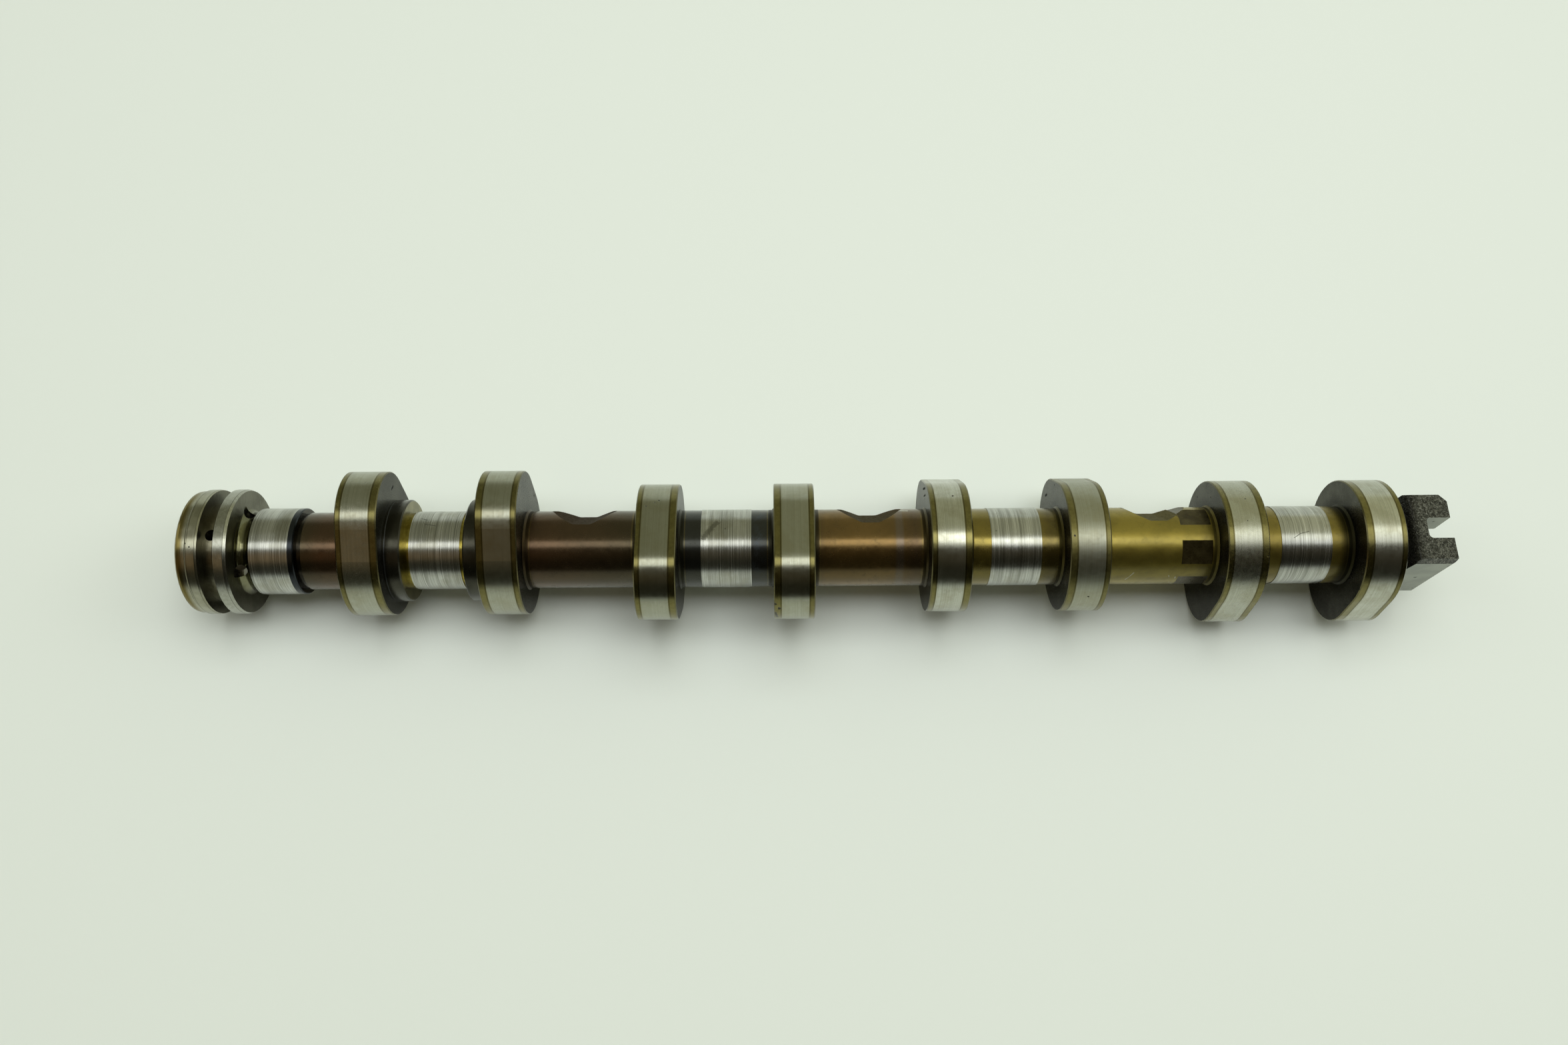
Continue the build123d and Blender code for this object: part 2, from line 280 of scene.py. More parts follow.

# Single marks: start and end (along, across, up) and half width, all in millimetres.
SIDE_NICKS = (
    ((62.65, 17.3, 11.1), (62.65, 18.5, 10.1), 0.4), nick(105.1, 15.6, 21.9, 0.25),
    nick(105.1, 14.5, 22.1, 0.2), nick(105.1, 13.6, 22.3, 0.25), nick(105.1, 12.6, 22.9, 0.2),
    nick(105.1, 11.6, 23.4, 0.3), nick(105.1, 18.7, -1.6, 0.5), nick(153.6, 16.4, 12.3, 0.35),
    nick(153.6, 10.4, 12.4, 0.3), ((231.95, 17.2, 8.5), (231.95, 18.6, 3.2), 0.4),
    ((231.95, 14.9, 8.8), (231.95, 15.8, 4.4), 0.3), nick(231.95, 14.3, 6.2, 0.35),
    ((274.45, 19.6, -7.4), (274.45, 20.0, -9.6), 0.45), nick(274.45, 19.4, 4.0, 0.3),
    nick(322.95, 17.2, -2.8, 0.35), nick(322.95, 13.5, 8.9, 0.3))
TRACK_NICKS = (
    nick(147.9, 11.0, 17.6, 0.3), nick(146.6, 10.2, 18.0, 0.2), nick(144.0, 9.0, 18.7, 0.25),
    nick(183.8, -21.7, 16.0, 0.45), nick(185.1, -22.7, 14.2, 0.55),
    ((184.0, -23.6, 12.0), (184.5, -24.3, 8.6), 0.35), nick(239.4, 12.1, 16.8, 0.3),
    nick(281.3, -18.6, 9.2, 0.35), nick(275.7, -1.9, 20.6, 0.3), nick(330.2, 10.2, 18.1, 0.25),
    nick(329.2, 2.4, 20.6, 0.2), nick(334.9, -8.4, 19.0, 0.3), nick(365.5, -17.0, 10.9, 0.45),
    ((104.7, -24.4, 6.4), (105.1, -24.2, 4.2), 0.3))
JOURNAL_SCRATCHES = (
    ((72.3, 7.9, 9.7), (74.4, 7.2, 10.2), 0.13), ((74.0, 5.6, 11.1), (77.5, 5.0, 11.4), 0.1),
    ((346.4, -1.0, 12.4), (348.6, 0.4, 12.5), 0.11), ((348.6, 0.4, 12.5), (351.4, 1.1, 12.4), 0.11),
    nick(168.3, 3.3, 12.0, 0.2), nick(253.2, 2.0, 12.3, 0.2))
JOURNAL_SMEAR = ((161.6, 0.4, 12.4), (165.6, 5.4, 11.2), 0.95)
SHAFT_SCRAPES = (
    ((310.9, -12.2, -1.6), (310.6, -11.5, 4.5), 0.2), ((309.6, -12.2, 1.0), (308.4, -11.2, 5.2), 0.15),
    ((295.0, -11.9, 3.3), (297.0, -10.5, 6.5), 0.16), ((223.0, 10.4, 6.6), (226.0, 10.2, 7.0), 0.4))
RING_NICKS = (nick(3.7, -2.4, 19.6, 0.3), nick(5.1, -3.4, 19.6, 0.22))
LUG_PITS = (nick(388.4, -11.4, 1.6, 0.55), nick(392.9, -12.5, -9.6, 0.4),
            nick(393.5, -10.4, 12.5, 0.35), nick(391.0, 4.1, 12.3, 0.45))


# ---- finishes -------------------------------------------------------------------------
class Finish(Board):
    """A material on one Principled shader, with the shaft's own measures at hand."""

    def __init__(self, name, metallic=1.0, roughness=0.35, coat=0.0, coat_roughness=0.2,
                 specular=0.5, edge=1.0):
        self.material = bpy.data.materials.new(name)
        self.material.use_nodes = True
        super().__init__(self.material.node_tree)
        self.shader = self.tree.nodes["Principled BSDF"]
        for title, value in (("Metallic", metallic), ("Roughness", roughness),
                             ("Coat Weight", coat), ("Coat Roughness", coat_roughness),
                             ("Specular IOR Level", specular)):
            self.shader.inputs[title].default_value = value
        self.shader.inputs["Specular Tint"].default_value = (edge, edge, edge, 1.0)
        self.place = self.group(PLACE)
        self.spot = self.place["Spot"]

    def marks(self, lines, drift):
        return self.group(MARKS, Spot=self.spot, Lines=lines, Drift=drift)

    def pits(self, spacing, size, share):
        return self.group(PITS, Spot=self.spot, Spacing=spacing, Size=size, Share=share)["Mask"]

    def scratched(self, scratches):
        mask = 0.0
        for start, end, width in scratches:
            one = self.group(SCRATCH, Spot=self.spot, Start=start, End=end, Width=width)["Mask"]
            mask = self.maths("MAXIMUM", mask, one)
        return mask

    def stains(self, size):
        return self.group(STAINS, Spot=self.spot, Size=size)

    def colour(self, value):
        self.feed(self.shader.inputs["Base Color"], value)

    def rough(self, value):
        self.feed(self.shader.inputs["Roughness"], value)

    def relief(self, height, distance, normal=None):
        self.feed(self.shader.inputs["Normal"], self.bump(height, distance, normal))


def ground_journal():
    f = Finish("ground_journal_steel")
    fine = f.marks(2.6, 0.012)
    wide = f.marks(0.7, 0.02)
    stain = f.stains(9.0)
    steel = f.blend(f.between(wide["Lines"], 0.38, 0.62), (0.28, 0.28, 0.25), (0.50, 0.50, 0.465))
    steel = f.blend(f.between(fine["Lines"], 0.52, 0.7, 0.0, 0.8), steel, (0.76, 0.76, 0.73))
    steel = f.blend(f.between(fine["Lines"], 0.3, 0.44, 0.65, 0.0), steel, (0.11, 0.11, 0.095))
    steel = f.blend(f.between(stain["Large"], 0.55, 1.0, 0.0, 0.35), steel, (0.24, 0.225, 0.15))
    steel = f.blend(f.maths("MULTIPLY", f.scratched([JOURNAL_SMEAR]), 0.6), steel, (0.10, 0.095, 0.07))
    steel = f.blend(f.maths("MULTIPLY", f.scratched(JOURNAL_SCRATCHES), 0.8), steel, (0.05, 0.05, 0.04))
    strip = f.band(f.place["Along"], STRIP_START, FRONT_JOURNAL_END + 1.0, 0.12)
    steel = f.blend(strip, steel, (0.035, 0.039, 0.043))
    f.colour(steel)
    f.rough(f.between(fine["Lines"], 0.3, 0.75, 0.17, 0.31))
    f.relief(fine["Lines"], 0.000004)
    return f.material


LOBE_WEAR = (                           # from each distance on: how dull and how rough a track is
    (0.0, 0.35, 0.35), (77.55, 0.4, 0.3), (120.0, 0.5, 0.1), (168.55, 0.45, 0.1),
    (214.0, 0.0, 0.15), (259.55, 0.45, 1.0), (305.0, 0.2, 0.5), (350.55, 0.0, 0.3))


def lobe_track():
    f = Finish("lobe_running_face")
    outward = f.place["Outward"]
    inside = f.maths("SUBTRACT", TRACK_HALF, f.maths(
        "ABSOLUTE", f.maths("SUBTRACT", outward, TRACK_OFFSET)))
    polished = f.between(inside, -0.2, 0.12, soft=True)
    stain = f.stains(7.0)
    marks = f.marks(4.0, 0.02)
    wear = f.node("ShaderNodeSeparateColor")
    steps = [(at / WHOLE, (dull, rough, 0.0)) for at, dull, rough in LOBE_WEAR]
    share = f.maths("DIVIDE", f.place["Along"], WHOLE)
    f.feed(wear.inputs[0], f.ramp(share, steps, "CONSTANT"))
    steel = f.blend(f.between(marks["Lines"], 0.35, 0.7), (0.40, 0.40, 0.33), (0.55, 0.55, 0.48))
    steel = f.blend(wear.outputs[0], steel, (0.21, 0.21, 0.135))
    steel = f.blend(f.between(stain["Large"], 0.4, 1.0, 0.0, 0.35), steel, (0.28, 0.26, 0.17))
    steel = f.blend(f.between(stain["Small"], 0.55, 1.0, 0.0, 0.2), steel, (0.24, 0.22, 0.16))
    gold = f.blend(stain["Small"], (0.14, 0.12, 0.038), (0.20, 0.175, 0.06))
    line = f.band(inside, -0.5, -0.12, 0.14)
    tint = f.blend(polished, gold, steel)
    tint = f.blend(f.maths("MULTIPLY", line, 0.75), tint, (0.065, 0.055, 0.018))
    rim = f.between(f.maths("ABSOLUTE", outward), LOBE_HALF - 0.5, LOBE_HALF - 0.25, 0.0, 0.6)
    tint = f.blend(rim, tint, (0.07, 0.063, 0.035))
    hole = f.maths("MAXIMUM", f.pits(3.4, 0.3, 0.04), f.scratched(TRACK_NICKS))
    f.colour(f.blend(hole, tint, (0.025, 0.022, 0.015)))
    f.feed(f.shader.inputs["Coat Weight"], f.between(polished, 0.0, 1.0, 0.25, 0.0))
    f.rough(f.maths("ADD", f.between(stain["Small"], 0.0, 1.0, 0.13, 0.21),
                    f.maths("MULTIPLY", wear.outputs[1], 0.2)))
    height = f.maths("SUBTRACT", f.maths("MULTIPLY", marks["Lines"], 0.04), hole)
    f.relief(height, 0.00006)
    return f.material


def lobe_side():
    f = Finish("lobe_flat_side", edge=0.75)
    stain = f.stains(10.0)
    grain = f.noise(f.spot, 3.0, 3.0, 0.7)
    grey = f.blend(stain["Large"], (0.042, 0.040, 0.030), (0.085, 0.083, 0.066))
    grey = f.blend(f.between(grain, 0.5, 0.8, 0.0, 0.4), grey, (0.03, 0.03, 0.026))
    # painted shade: lobe faces darker near the shaft, in the corner between them
    hub_shade = f.between(f.place["Radius"], 12.5, 16.5, 0.8, 0.0, soft=True)
    grey = f.blend(hub_shade, grey, (0.015, 0.014, 0.008))
    hole = f.maths("MAXIMUM", f.pits(2.2, 0.22, 0.06), f.pits(6.0, 0.6, 0.06))
    hole = f.maths("MAXIMUM", hole, f.scratched(SIDE_NICKS))
    f.colour(f.blend(hole, grey, (0.006, 0.006, 0.005)))
    f.feed(f.shader.inputs["Metallic"], f.between(hole, 0.0, 1.0, 0.95, 0.0))
    f.rough(f.maths("MAXIMUM", f.between(grain, 0.3, 0.7, 0.22, 0.36), f.maths("MULTIPLY", hole, 0.9)))
    f.relief(f.maths("SUBTRACT", f.maths("MULTIPLY", grain, 0.05), hole), 0.00008)
    return f.material


OLIVE_BLACK = (0.022, 0.020, 0.008)
RED_BROWN = (0.105, 0.060, 0.030)
DARK_BROWN = (0.075, 0.055, 0.028)
BLUE_BROWN = (0.040, 0.041, 0.037)
BRONZE = (0.19, 0.115, 0.035)
RUSSET = (0.11, 0.068, 0.030)
GOLD = (0.235, 0.18, 0.036)
AMBER = (0.12, 0.09, 0.022)
BRASS = (0.29, 0.225, 0.042)
VARNISH = (                             # from the front face back: millimetres and colour
    (36.0, DARK_BROWN), (42.0, RED_BROWN), (107.0, RED_BROWN), (140.0, DARK_BROWN),
    (155.0, BLUE_BROWN), (196.0, BLUE_BROWN), (199.0, BRONZE), (221.0, BRONZE),
    (228.0, RUSSET), (244.0, GOLD), (265.0, GOLD), (270.0, AMBER), (288.0, BRASS), (311.0, BRASS),
    (336.0, GOLD), (361.5, GOLD), (363.0, OLIVE_BLACK), (383.0, OLIVE_BLACK))


def varnished_shaft():
    f = Finish("oil_varnished_shaft", metallic=0.95, coat_roughness=0.18)
    stain = f.stains(12.0)
    marks = f.marks(3.0, 0.03)
    tint = f.ramp(f.maths("DIVIDE", f.place["Along"], WHOLE),
                  [(at / WHOLE, colour) for at, colour in VARNISH])
    tint = f.blend(f.between(stain["Large"], 0.3, 1.0, 0.0, 0.35), tint,
                   f.blend(0.55, tint, OLIVE_BLACK))
    tint = f.blend(f.between(stain["Small"], 0.5, 1.0, 0.0, 0.3), tint,
                   f.blend(0.6, tint, OLIVE_BLACK))
    off_face = f.maths("SUBTRACT", f.maths("ABSOLUTE", f.place["Outward"]), LOBE_HALF)
    # painted shade: the shaft darker close to each lobe face, in the corner between them; the same mask
    # also takes off coat and adds roughness there
    root_shade = f.between(off_face, 1.3, 1.75, 0.7, 0.0, soft=True)
    gold_line = f.band(off_face, 1.75, 2.05, 0.12)
    tint = f.blend(root_shade, tint, OLIVE_BLACK)
    tint = f.blend(f.maths("MULTIPLY", gold_line, 0.3), tint, GOLD)
    smear = f.band(f.place["Along"], *SMEARED, 0.5)
    tint = f.blend(f.maths("MULTIPLY", smear, 0.45), tint, (0.15, 0.13, 0.12))
    bluish = f.band(f.place["Along"], *BLUED, 1.0)
    tint = f.blend(f.maths("MULTIPLY", bluish, f.between(stain["Small"], 0.3, 0.8, 0.0, 0.6)), tint,
                   (0.05, 0.06, 0.07))
    tint = f.blend(f.maths("MULTIPLY", f.scratched(SHAFT_SCRAPES), 0.8), tint, (0.55, 0.54, 0.48))
    hole = f.pits(2.6, 0.28, 0.05)
    # painted shade: the shaft's colour darkened along its front-lower side
    front_shade = f.band(f.place["Around"], *FRONT_PAINTED_SHADE, 0.12)
    tint = f.blend(f.maths("MULTIPLY", front_shade, 0.55), tint, f.blend(0.85, tint, OLIVE_BLACK))
    f.colour(f.blend(hole, tint, (0.012, 0.008, 0.005)))
    f.feed(f.shader.inputs["Coat Weight"], f.between(root_shade, 0.0, 0.5, 0.35, 0.0))
    mottled = f.between(f.place["Along"], *MOTTLED_FROM, 0.0, 0.12)
    f.rough(f.maths("ADD", f.between(stain["Small"], 0.0, 1.0, 0.17, 0.30),
                    f.maths("ADD", f.maths("MULTIPLY", root_shade, 0.2), mottled)))
    height = f.maths("ADD", f.maths("MULTIPLY", marks["Lines"], 0.08),
                     f.maths("MULTIPLY", stain["Small"], 0.25))
    f.relief(f.maths("SUBTRACT", height, hole), 0.00002)
    return f.material


def cast_waist():
    f = Finish("cast_waist_varnish", metallic=0.9, specular=0.1, edge=0.42)
    stain = f.stains(5.0)
    tint = f.ramp(f.maths("DIVIDE", f.place["Along"], WHOLE),
                  ((0.30, (0.06, 0.038, 0.02)), (0.50, (0.07, 0.05, 0.02)),
                   (0.56, (0.085, 0.057, 0.018)), (0.75, (0.16, 0.135, 0.06))))
    f.colour(f.blend(f.between(stain["Small"], 0.3, 1.0, 0.0, 0.5), tint, OLIVE_BLACK))
    f.rough(f.between(stain["Small"], 0.0, 1.0, 0.42, 0.6))
    f.relief(stain["Small"], 0.00006)
    return f.material


def spanner_flat():
    f = Finish("spanner_flat_brown", metallic=0.9)
    stain = f.stains(4.0)
    f.colour(f.blend(stain["Large"], (0.045, 0.034, 0.012), (0.085, 0.068, 0.027)))
    f.rough(f.between(stain["Small"], 0.0, 1.0, 0.24, 0.4))
    f.relief(stain["Small"], 0.00002)
    return f.material


def thrust_collar():
    f = Finish("thrust_collar_black", metallic=0.95, coat=0.2)
    stain = f.stains(7.0)
    black = f.blend(stain["Large"], (0.032, 0.030, 0.020), (0.055, 0.052, 0.038))
    # painted highlight: a thin pale bluish line near the collar's front edge, next to the first lobe
    painted_highlight = f.band(f.place["Along"], *COLLAR_PAINTED_HIGHLIGHT, 0.1)
    black = f.blend(f.maths("MULTIPLY", painted_highlight, 0.6), black, (0.30, 0.32, 0.35))
    f.colour(f.blend(f.pits(1.6, 0.2, 0.12), black, (0.012, 0.011, 0.008)))
    f.rough(f.between(stain["Small"], 0.0, 1.0, 0.2, 0.28))
    f.relief(stain["Small"], 0.000006)
    return f.material


def collar_face():
    f = Finish("thrust_collar_face", roughness=0.26)
    stain = f.stains(4.0)
    f.colour(f.blend(stain["Large"], (0.17, 0.15, 0.07), (0.26, 0.235, 0.12)))
    f.relief(stain["Small"], 0.00001)
    return f.material


def relief_gold():
    f = Finish("relief_groove_gold", roughness=0.2)
    stain = f.stains(3.0)
    along = f.place["Along"]
    gold = f.blend(stain["Large"], (0.22, 0.175, 0.03), (0.42, 0.35, 0.10))
    dark = f.blend(stain["Large"], (0.02, 0.018, 0.014), (0.05, 0.042, 0.03))
    f.colour(f.blend(f.between(along, *RELIEF_TURNS_GOLD), dark, gold))
    return f.material


def front_rings():
    f = Finish("front_ring_steel")
    along = f.place["Along"]
    stain = f.stains(6.0)
    marks = f.marks(5.0, 0.03)
    grey = f.blend(stain["Large"], (0.27, 0.26, 0.19), (0.38, 0.37, 0.29))
    tint = f.blend(f.band(along, *GOLDEN_NOSE, 0.8), grey, (0.17, 0.135, 0.045))
    second = f.between(along, GROOVE_END - 0.5, GROOVE_END - 0.3)
    tint = f.blend(second, tint, f.blend(stain["Small"], (0.30, 0.30, 0.25), (0.42, 0.42, 0.37)))
    line = 0.0
    for start, end in RING_LINES:
        line = f.maths("MAXIMUM", line, f.band(along, start, end, 0.1))
    tint = f.blend(f.maths("MULTIPLY", line, 0.7), tint, (0.05, 0.045, 0.025))
    hole = f.maths("MAXIMUM", f.pits(1.8, 0.2, 0.05), f.scratched(RING_NICKS))
    f.colour(f.blend(hole, tint, (0.02, 0.018, 0.012)))
    f.rough(f.between(marks["Lines"], 0.3, 0.7, 0.16, 0.28))
    f.relief(f.maths("SUBTRACT", f.maths("MULTIPLY", marks["Lines"], 0.05), hole), 0.00005)
    return f.material


def ring_sides():
    f = Finish("ring_side_olive", metallic=0.95, roughness=0.3)
    stain = f.stains(7.0)
    f.colour(f.blend(stain["Large"], (0.085, 0.08, 0.05), (0.14, 0.135, 0.095)))
    f.relief(stain["Small"], 0.00002)
    return f.material


def oil_neck():
    f = Finish("oil_neck_gold")
    stain = f.stains(6.0)
    f.colour(f.blend(stain["Large"], (0.11, 0.105, 0.055), (0.20, 0.195, 0.12)))
    f.rough(f.between(stain["Small"], 0.0, 1.0, 0.1, 0.22))
    return f.material


def oil_groove():
    f = Finish("oil_groove_brown", roughness=0.28)
    stain = f.stains(6.0)
    f.colour(f.blend(stain["Large"], (0.14, 0.125, 0.08), (0.25, 0.235, 0.17)))
    f.relief(stain["Small"], 0.00002)
    return f.material


def cast_lug():
    f = Finish("sand_cast_lug", metallic=0.7, coat=0.4, coat_roughness=0.18)
    coarse = f.noise(f.spot, 0.9, 3.0, 0.6)
    fine = f.noise(f.spot, 2.2, 3.0, 0.65)
    # painted shade: the lug darker over its first millimetres, where it meets the shaft
    root_shade = f.between(f.place["Along"], LUG_START - 1.0, LUG_START + 4.0, 1.0, 0.0, soft=True)
    grey = f.blend(f.between(coarse, 0.42, 0.58), (0.04, 0.039, 0.025), (0.17, 0.17, 0.135))
    grey = f.blend(f.between(fine, 0.42, 0.5, 0.75, 0.0), grey, (0.008, 0.008, 0.006))
    grey = f.blend(f.between(fine, 0.56, 0.64, 0.0, 0.8), grey, (0.42, 0.42, 0.37))
    grey = f.blend(f.maths("MULTIPLY", root_shade, 0.85), grey, (0.015, 0.013, 0.008))
    f.colour(f.blend(f.scratched(LUG_PITS), grey, (0.005, 0.005, 0.004)))
    f.rough(f.between(fine, 0.4, 0.65, 0.5, 0.2))
    f.relief(fine, 0.0010, f.bump(coarse, 0.0016))
    return f.material


def machined_lug():
    f = Finish("machined_lug_flat", metallic=0.95, roughness=0.3)
    stain = f.stains(6.0)
    hole = f.maths("MAXIMUM", f.pits(3.0, 0.35, 0.12), f.scratched(LUG_PITS))
    grey = f.blend(stain["Large"], (0.17, 0.18, 0.15), (0.23, 0.24, 0.20))
    f.colour(f.blend(hole, grey, (0.04, 0.04, 0.03)))
    f.relief(f.maths("SUBTRACT", 0.0, hole), 0.0001)
    return f.material


def bore_steel():
    f = Finish("bored_steel", roughness=0.4)
    stain = f.stains(5.0)
    f.colour(f.blend(stain["Large"], (0.16, 0.14, 0.10), (0.26, 0.24, 0.19)))
    f.relief(stain["Small"], 0.00002)
    return f.material


FINISHES = {make.__name__: make() for make in (
    ground_journal, lobe_track, lobe_side, varnished_shaft, cast_waist, spanner_flat,
    thrust_collar, collar_face, relief_gold, front_rings, ring_sides, oil_neck, oil_groove,
    cast_lug, machined_lug, bore_steel)}
ORDER = list(FINISHES)


def front_finish(along, radius, flat):
    """Finish of the front end, up to the first plain shaft."""
    # the centre bore, and the oil holes below the turned faces
    if radius < SHAFT_RADIUS - 1.5:
        return "bore_steel" if not flat else "ring_sides"
    if along < NECK_START + NEAR:
        if RING_A_END < along < GROOVE_END and radius < RING_RADIUS - 2.0 and not flat:
            return "oil_groove"
        return "ring_sides" if flat else "front_rings"
    if along < NECK_END - 0.02:
        return "oil_neck"
    return "thrust_collar" if flat else "ground_journal"


def lobe_finish(off_middle, radius, flat, cylinder):
    """Finish of a cylinder's two lobes, its journal and what lies between them."""
    off_lobe = abs(abs(off_middle) - LOBE_OFFSET)
    if off_lobe < LOBE_HALF - 0.35 and radius > SHAFT_RADIUS + 2.0:
        return "lobe_track"
    if off_lobe < LOBE_HALF + NEAR and radius > SHAFT_RADIUS + 0.7:
        return "lobe_side" if flat else "lobe_track"
    if cylinder == 0 and abs(off_middle) < LOBE_OFFSET - LOBE_HALF - NEAR and radius > COLLAR_FOOT:
        return "collar_face" if flat else "thrust_collar"
    if cylinder == 0 and JOURNAL_HALF - 0.02 < abs(off_middle) < JOURNAL_HALF + RELIEF_WIDTH:
        return "relief_gold"
    if abs(off_middle) < JOURNAL_HALF + 0.02 and not flat:
        return "ground_journal"
    return "varnished_shaft"


def in_waist(along, centre, normal):
    """Whether a face belongs to one of the cast waists."""
    if min(abs(along - middle) for middle in WAISTS) > WAIST_HALF:
        return False
    turn = math.radians(WAIST_ANGLE)
    out = Vector((0.0, math.sin(turn), math.cos(turn)))
    on_flat = normal.dot(out) > 0.99 and centre.dot(out) < SHAFT_RADIUS - 1.0
    return on_flat or 0.03 < abs(normal.dot(AXIS)) < 0.6


def on_hexagon(along, out, normal):
    """Whether a face is one of the spanner flats, or stands at their ends."""
    if not HEXAGON[0] - NEAR < along < HEXAGON[1] + NEAR:
        return False
    return abs(normal.dot(AXIS)) > SQUARE or out.dot(normal) < SHAFT_RADIUS - 0.4


def finish_of(centre, normal):
    """The finish of a face of the casting, from its middle and the way it faces."""
    along = centre.dot(AXIS)
    out = centre - AXIS * along
    radius = out.length
    flat = abs(normal.dot(AXIS)) > SQUARE
    # the lug, with the rounding at its root
    if along > LUG_START + 0.3 or (along > LUG_START - 1.2 and radius > SHAFT_RADIUS + 0.3):
        turned = Matrix.Rotation(math.radians(LUG_ANGLE), 3, "X") @ normal
        if radius < LUG_BORE and abs(turned.x) < SQUARE and abs(turned.y) < 0.999:
            return "bore_steel"
        cast = abs(turned.z) > 0.5 or (abs(turned.y) < 0.95 and abs(turned.x) < 0.95)
        return "cast_lug" if cast or normal.dot(AXIS) < -0.1 else "machined_lug"
    if along < FRONT_RELIEF_END - RELIEF_WIDTH:
        return front_finish(along, radius, flat)
    if along < FRONT_RELIEF_END - NEAR:
        return "relief_gold"
    if radius < DEEPEST_BORE:
        return "bore_steel"
    if on_hexagon(along, out, normal):
        return "spanner_flat"
    if in_waist(along, centre, normal):
        return "cast_waist"
    cylinder = round((along - FIRST_CYLINDER) / PITCH)
    return lobe_finish(along - FIRST_CYLINDER - cylinder * PITCH, radius, flat, cylinder)


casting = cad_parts["camshaft"]
casting.data.materials.clear()
for name in ORDER:
    casting.data.materials.append(FINISHES[name])
for face in casting.data.polygons:
    face.material_index = ORDER.index(finish_of(face.center * 1000.0, face.normal))


# ---- stage ----------------------------------------------------------------------------
FLOOR = (0.785, 0.83, 0.79)
BACKDROP = (0.70, 0.76, 0.67)
BLACK = (0.0, 0.0, 0.0)
COOL_WHITE = (0.97, 1.0, 0.98)
MIDDLE = (0.197, 0.0, 0.0)              # of the camshaft, where the side lamps point
TABLE_HALF = 20.0
FADE = (0.6, 2.2)                       # metres out, where the table turns into backdrop
WALLS = (                               # from the front wall to the back one: share and colour
    (0.0, (0.028, 0.028, 0.018)), (0.1, (0.028, 0.028, 0.018)), (0.25, (0.07, 0.06, 0.036)),
    (0.4, (0.09, 0.085, 0.06)), (0.47, (0.14, 0.14, 0.1)), (0.56, (0.24, 0.245, 0.165)),
    (1.0, (0.24, 0.245, 0.165)))
BROWN_WALL = (0.20, 0.145, 0.08)
LENS = 28.125
CAMERA_SPOT = (0.179013, -0.097757, 0.384913)
CAMERA_TURN = ((0.9998023, 0.0029020, -0.0196690), (-0.0080634, 0.9634623, -0.2677225),
               (0.0181734, 0.2678282, 0.9632953))


def floor_finish():
    """Pale table that runs out into a pale backdrop, for the camera, gloss and glass alike."""
    material = bpy.data.materials.new("pale_table")
    material.use_nodes = True
    board = Board(material.node_tree)
    shader = material.node_tree.nodes["Principled BSDF"]
    shader.inputs["Roughness"].default_value = 0.6
    shader.inputs["Specular IOR Level"].default_value = 0.2
    away = board.node("ShaderNodeVectorMath", operation="LENGTH")
    board.feed(away.inputs[0], board.node("ShaderNodeNewGeometry").outputs["Position"])
    path = board.node("ShaderNodeLightPath")
    seen = board.maths("MAXIMUM", path.outputs["Is Glossy Ray"], path.outputs["Is Transmission Ray"])
    seen = board.maths("MAXIMUM", path.outputs["Is Camera Ray"], seen)
    far = board.maths("MULTIPLY", board.between(away.outputs["Value"], *FADE, soft=True), seen)
    board.feed(shader.inputs["Base Color"], board.blend(far, FLOOR, BLACK))
    board.feed(shader.inputs["Emission Color"], board.blend(far, BLACK, BACKDROP))
    shader.inputs["Emission Strength"].default_value = 1.0
    return material


def make_floor():
    mesh = bpy.data.meshes.new("table_top")
    corners = [(x * TABLE_HALF, y * TABLE_HALF, cad_low.z)
               for x, y in ((-1, -1), (1, -1), (1, 1), (-1, 1))]
    mesh.from_pydata(corners, [], [(0, 1, 2, 3)])
    mesh.materials.append(floor_finish())
    table = bpy.data.objects.new("table_top", mesh)
    bpy.context.scene.collection.objects.link(table)


def lamp(name, spot, aim, size, brightness, mirrored=True):
    """Flat soft lamp; its brightness is what a mirror would show of it."""
    data = bpy.data.lights.new(name, "AREA")
    data.shape = "RECTANGLE"
    data.size, data.size_y = size
    data.energy = brightness * math.pi * size[0] * size[1]
    data.color = COOL_WHITE
    made = bpy.data.objects.new(name, data)
    made.location = spot
    made.rotation_euler = (Vector(aim) - Vector(spot)).to_track_quat("-Z", "Y").to_euler()
    made.visible_glossy = mirrored
    bpy.context.scene.collection.objects.link(made)


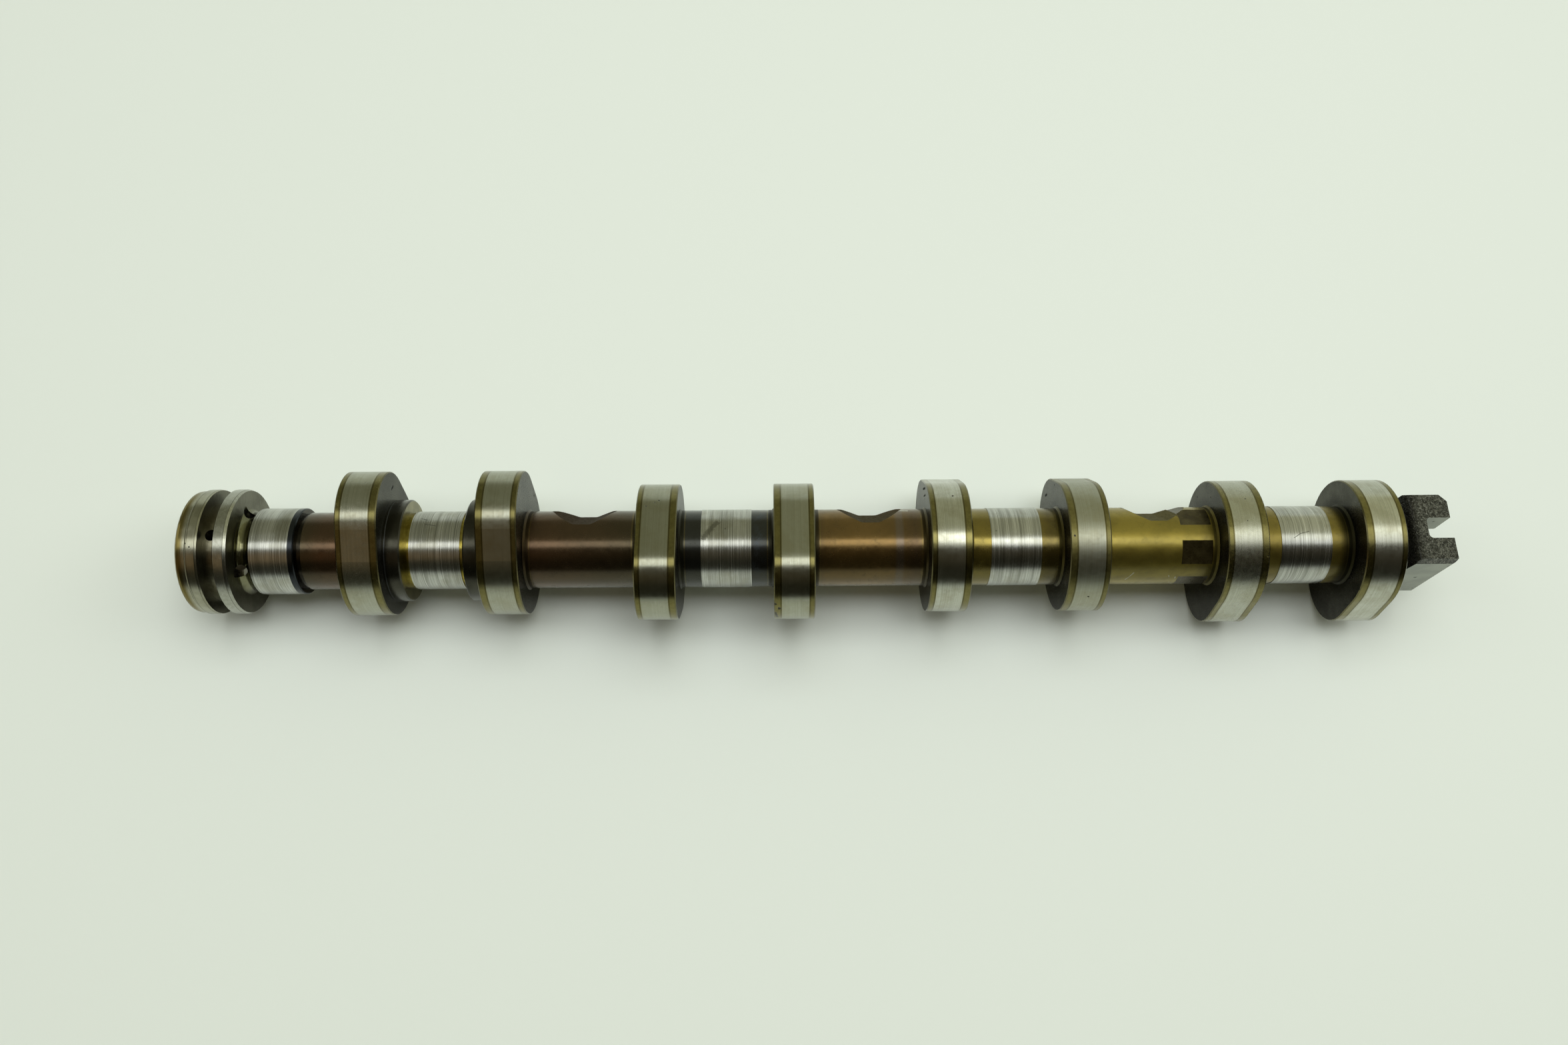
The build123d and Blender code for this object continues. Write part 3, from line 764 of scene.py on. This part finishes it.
def make_world():
    """The walls of a room: dim in front, brighter behind, and pale down at the table."""
    world = bpy.data.worlds.new("studio")
    bpy.context.scene.world = world
    world.use_nodes = True
    board = Board(world.node_tree)
    parts = board.node("ShaderNodeSeparateXYZ")
    board.feed(parts.inputs[0], board.node("ShaderNodeTexCoord").outputs["Generated"])
    across, forward, up = parts.outputs
    wall = board.ramp(board.between(forward, -1.0, 1.0), WALLS)
    brown = board.maths("MULTIPLY", board.between(across, -0.31, -0.19, 1.0, 0.0),
                        board.band(forward, -0.62, -0.25, 0.1))
    wall = board.blend(brown, wall, BROWN_WALL)
    behind = board.between(forward, -0.1, 0.1)
    far_side = board.maths("MULTIPLY", behind, board.between(across, -0.2, 0.5, 1.0, 2.5))
    near_side = board.maths("MULTIPLY", board.maths("SUBTRACT", 1.0, behind),
                            board.between(across, -0.2, 0.4, 1.1, 0.55))
    low = board.between(up, 0.0, 0.2, 0.9, 0.0)
    strength = board.between(low, 0.0, 1.0, board.maths("ADD", far_side, near_side), 1.0)
    shader = world.node_tree.nodes["Background"]
    board.feed(shader.inputs["Color"], board.blend(low, wall, BACKDROP))
    board.feed(shader.inputs["Strength"], strength)


def make_camera():
    data = bpy.data.cameras.new("main_view")
    data.sensor_width = 36.0
    data.lens = LENS
    data.clip_start = 0.01
    data.clip_end = 50.0
    camera = bpy.data.objects.new("main_view", data)
    camera.matrix_world = Matrix.Translation(CAMERA_SPOT) @ Matrix(CAMERA_TURN).to_4x4()
    bpy.context.scene.collection.objects.link(camera)
    bpy.context.scene.camera = camera


make_floor()
make_world()
lamp("overhead_strip", (-0.2, 0.03, 1.56), (-0.2, 0.0, 0.0), (1.94, 0.44), 1.85)
lamp("right_panel", (1.25, 0.08, 1.5), (0.6, 0.0, 0.0), (0.8, 1.8), 1.2)
lamp("left_side_lamp", (-1.45, 0.42, 1.2), MIDDLE, (1.2, 1.2), 0.9)
lamp("right_side_lamp", (1.95, 0.42, 1.2), MIDDLE, (1.2, 1.2), 1.1)
lamp("table_lamp", (0.25, 0.30, 1.25), (0.25, 0.0, 0.0), (0.9, 0.9), 2.8, mirrored=False)
make_camera()
bpy.context.scene.view_settings.view_transform = "Standard"
